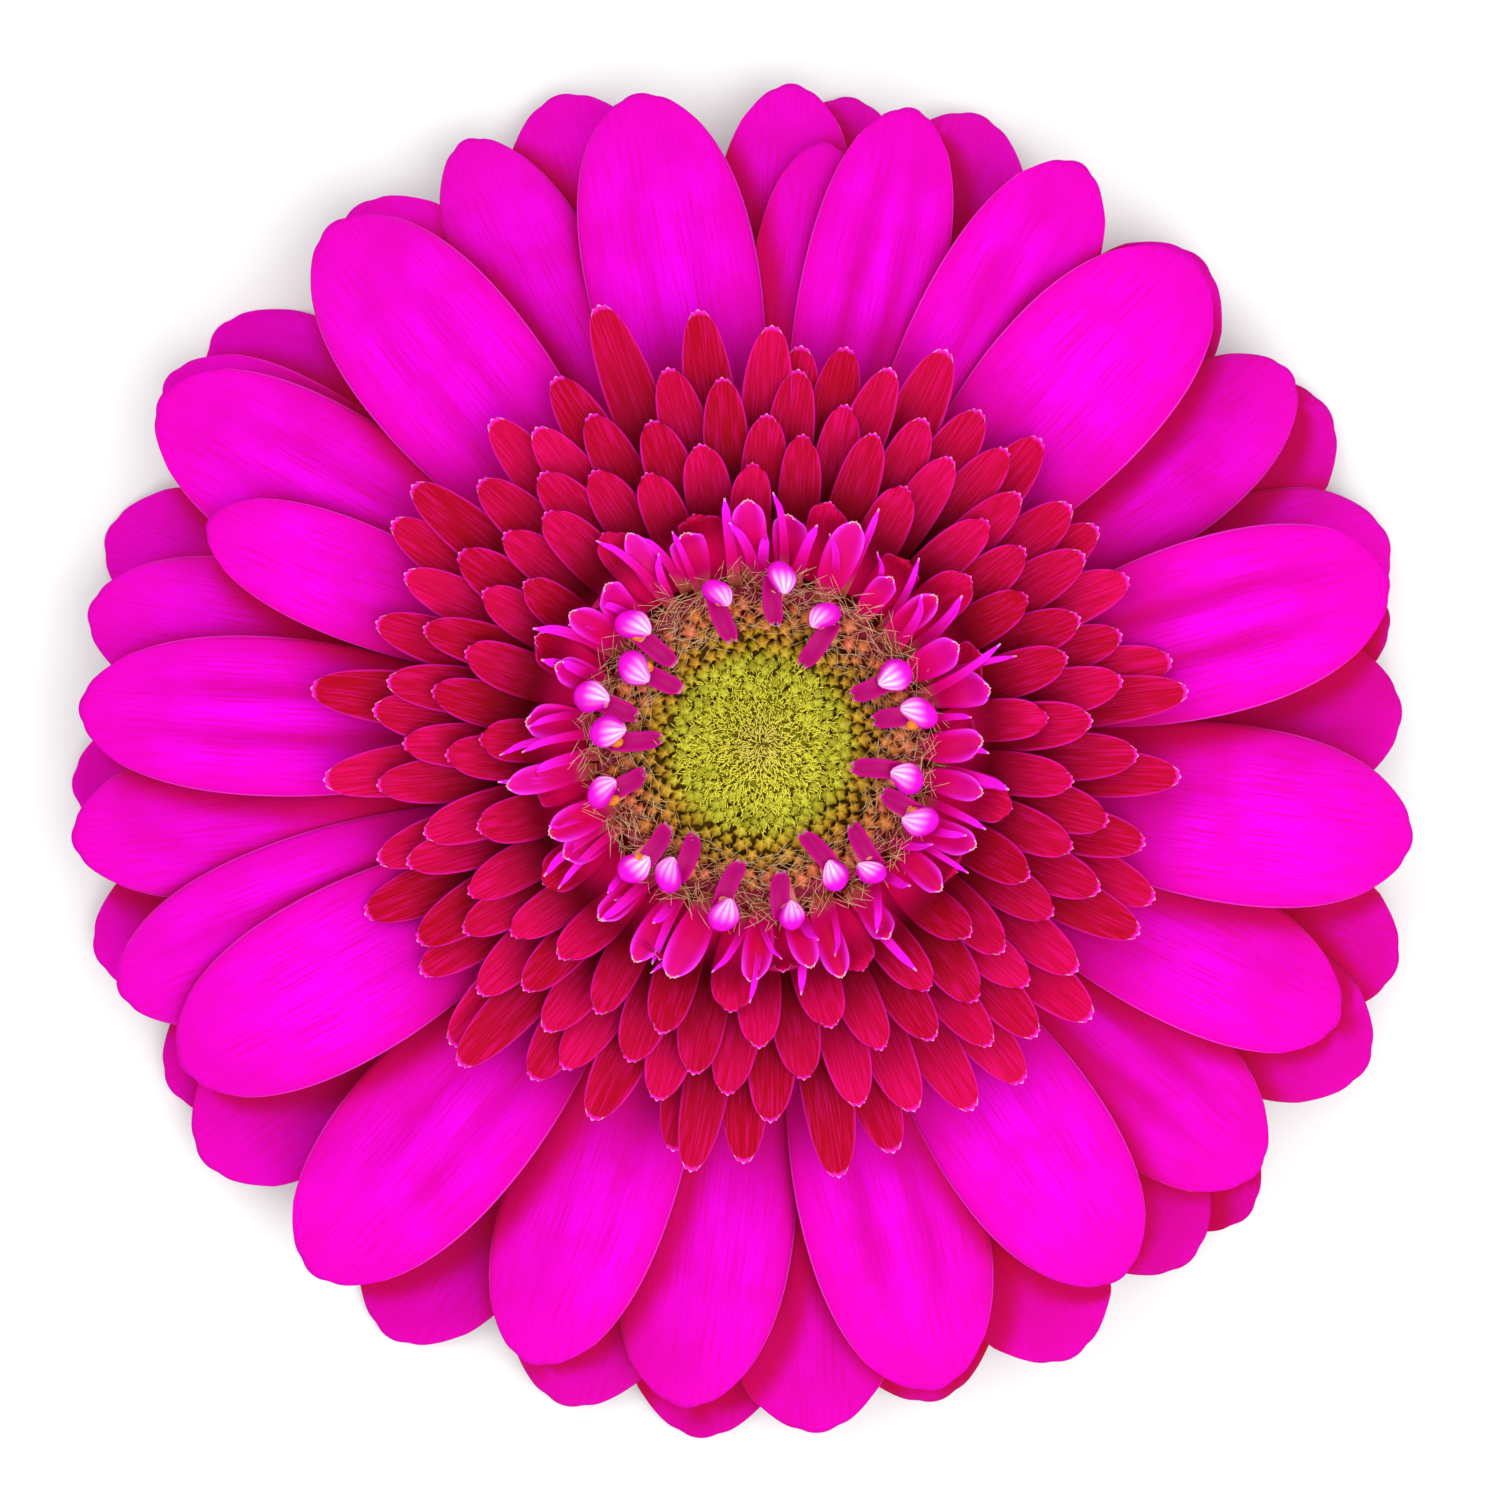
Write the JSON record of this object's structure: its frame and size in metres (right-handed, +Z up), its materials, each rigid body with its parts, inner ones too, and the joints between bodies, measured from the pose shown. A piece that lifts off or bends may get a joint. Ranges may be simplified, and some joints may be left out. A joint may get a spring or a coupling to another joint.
{
  "type": "cut gerbera flower head",
  "caption": "A double gerbera flower head cut just under its bracts, lying face up: broad magenta rays round crimson inner florets and an olive disc.",
  "frame": {"origin": "on the surface that the head lies on, under the middle of its outline", "axes": "+Z up, along the flower's own axis and out of its face; +X to the right and +Y to the top as the face is looked at"},
  "size_m": [0.1152, 0.1173, 0.0323],
  "materials": {
    "stem_green": "soft hairy green stem, cut across",
    "bract_green": "dull downy green bracts",
    "ray_magenta": "satin magenta ray florets with fine lengthwise ribs",
    "trans_crimson": "satin crimson florets with a pink rim",
    "lip_pink": "smooth pink lips",
    "disc_olive": "matt yellow-green to brown buds with fine bristles"
  },
  "bodies": {
    "root": {"stem_stub": "stem_green", "receptacle": "bract_green", "inner_bracts": "bract_green", "outer_bracts": "bract_green", "ray_floret_01": "ray_magenta", "ray_floret_02": "ray_magenta", "ray_floret_03": "ray_magenta", "ray_floret_04": "ray_magenta", "ray_floret_05": "ray_magenta", "ray_floret_06": "ray_magenta", "ray_floret_07": "ray_magenta", "ray_floret_08": "ray_magenta", "ray_floret_09": "ray_magenta", "ray_floret_10": "ray_magenta", "ray_floret_11": "ray_magenta", "ray_floret_12": "ray_magenta", "ray_floret_13": "ray_magenta", "ray_floret_14": "ray_magenta", "ray_floret_15": "ray_magenta", "ray_floret_16": "ray_magenta", "ray_floret_17": "ray_magenta", "ray_floret_18": "ray_magenta", "ray_floret_19": "ray_magenta", "ray_floret_20": "ray_magenta", "ray_floret_21": "ray_magenta", "ray_floret_22": "ray_magenta", "ray_floret_23": "ray_magenta", "ray_floret_24": "ray_magenta", "ray_floret_25": "ray_magenta", "ray_floret_26": "ray_magenta", "ray_floret_27": "ray_magenta", "ray_floret_28": "ray_magenta", "ray_floret_29": "ray_magenta", "ray_floret_30": "ray_magenta", "ray_floret_31": "ray_magenta", "ray_floret_32": "ray_magenta", "ray_floret_33": "ray_magenta", "ray_floret_34": "ray_magenta", "ray_floret_35": "ray_magenta", "ray_floret_36": "ray_magenta", "ray_floret_37": "ray_magenta", "ray_floret_38": "ray_magenta", "ray_floret_39": "ray_magenta", "ray_floret_40": "ray_magenta", "ray_floret_41": "ray_magenta", "ray_floret_42": "ray_magenta", "ray_floret_43": "ray_magenta", "ray_floret_44": "ray_magenta", "ray_floret_45": "ray_magenta", "ray_floret_46": "ray_magenta", "ray_floret_47": "ray_magenta", "ray_floret_48": "ray_magenta", "ray_floret_49": "ray_magenta", "ray_floret_50": "ray_magenta", "ray_floret_51": "ray_magenta", "trans_florets_outer": "trans_crimson", "trans_florets_inner": "trans_crimson", "open_florets": "lip_pink", "disc": "disc_olive"}
  },
  "joints": []
}
